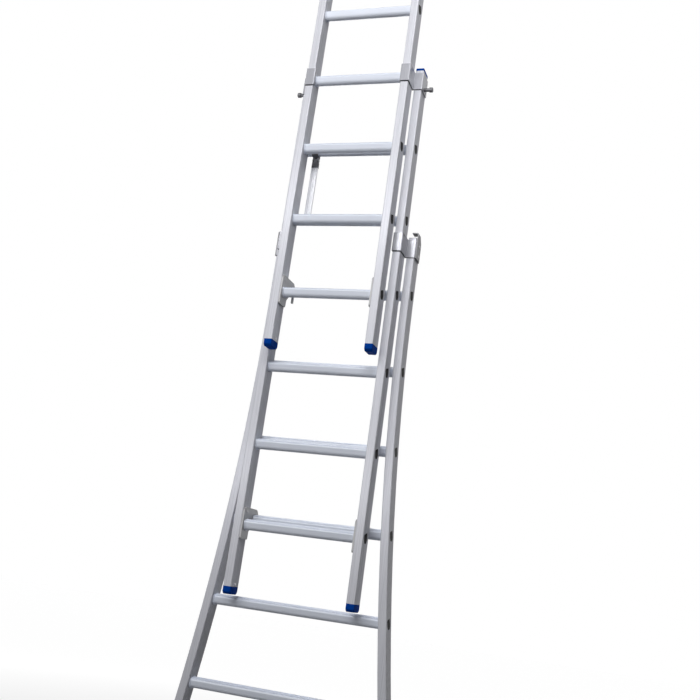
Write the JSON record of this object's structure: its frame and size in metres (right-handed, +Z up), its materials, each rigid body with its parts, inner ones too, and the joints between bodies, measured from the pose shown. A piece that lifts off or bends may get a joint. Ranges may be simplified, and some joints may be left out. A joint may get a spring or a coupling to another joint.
{
  "type": "extension ladder",
  "caption": "Aluminium push-up extension ladder in nested sections, flared at the foot, with guides, rung hooks, pins and end caps.",
  "frame": {"origin": "floor level, midway between the feet and midway through the depth of the nested sections", "axes": "+X across the ladder to the climber's right, +Y away from the climber, +Z up along the stiles"},
  "size_m": [0.8038, 0.176, 3.2867],
  "materials": {
    "stile_aluminium": "satin",
    "rung_aluminium": "satin, ribbed",
    "guide_aluminium": "bright",
    "hook_aluminium": "satin",
    "stay_aluminium": "satin",
    "catch_steel": "dull zinc",
    "pin_steel": "dull zinc",
    "rivet_steel": "satin",
    "blue_plastic": "moulded",
    "grey_plastic": "moulded"
  },
  "bodies": {
    "base_section": {"base_stile_left": "stile_aluminium", "base_foot_left": "blue_plastic", "base_guide_left": "guide_aluminium", "base_catch_left": "catch_steel", "base_stile_right": "stile_aluminium", "base_foot_right": "blue_plastic", "base_guide_right": "guide_aluminium", "base_catch_right": "catch_steel", "base_rung_1": "rung_aluminium", "base_rung_2": "rung_aluminium", "base_rung_3": "rung_aluminium", "base_rung_4": "rung_aluminium", "base_rung_5": "rung_aluminium", "base_rung_6": "rung_aluminium", "base_rung_7": "rung_aluminium", "base_rivets": "rivet_steel"},
    "middle_section": {"middle_stile_left": "stile_aluminium", "middle_foot_left": "blue_plastic", "middle_cap_left": "blue_plastic", "middle_guide_left": "guide_aluminium", "middle_hook_left": "hook_aluminium", "middle_stile_right": "stile_aluminium", "middle_foot_right": "blue_plastic", "middle_cap_right": "blue_plastic", "middle_guide_right": "guide_aluminium", "middle_hook_right": "hook_aluminium", "middle_rung_1": "rung_aluminium", "middle_rung_2": "rung_aluminium", "middle_rung_3": "rung_aluminium", "middle_rung_4": "rung_aluminium", "middle_rung_5": "rung_aluminium", "middle_rung_6": "rung_aluminium", "middle_pins": "pin_steel", "middle_rivets": "rivet_steel", "stay_hangers": "grey_plastic", "stay_pins": "rivet_steel"},
    "top_section": {"top_stile_left": "stile_aluminium", "top_foot_left": "blue_plastic", "top_cap_left": "blue_plastic", "top_hook_left": "hook_aluminium", "top_stile_right": "stile_aluminium", "top_foot_right": "blue_plastic", "top_cap_right": "blue_plastic", "top_hook_right": "hook_aluminium", "top_rung_1": "rung_aluminium", "top_rung_2": "rung_aluminium", "top_rung_3": "rung_aluminium", "top_rung_4": "rung_aluminium", "top_rung_5": "rung_aluminium", "top_rung_6": "rung_aluminium", "top_rung_7": "rung_aluminium", "top_rivets": "rivet_steel"},
    "left_stay": {"stay_head_left": "grey_plastic", "stay_channel_left": "stay_aluminium", "stay_tip_left": "grey_plastic"},
    "right_stay": {"stay_head_right": "grey_plastic", "stay_channel_right": "stay_aluminium", "stay_tip_right": "grey_plastic"}
  },
  "joints": [
    {"name": "middle_slide", "type": "slide", "parent": "base_section", "child": "middle_section", "axis": [0, 0, 1], "range_m": [-0.5, 0]},
    {"name": "top_slide", "type": "slide", "parent": "middle_section", "child": "top_section", "axis": [0, 0, 1], "range_m": [-0.75, 0]},
    {"name": "left_stay_hinge", "type": "hinge", "parent": "middle_section", "child": "left_stay", "pos_m": [-0.138, 0.0095, 2.15383], "axis": [1, 0, 0], "range_deg": [0, 70]},
    {"name": "right_stay_hinge", "type": "hinge", "parent": "middle_section", "child": "right_stay", "pos_m": [0.138, 0.0095, 2.15383], "axis": [1, 0, 0], "range_deg": [0, 70]}
  ]
}
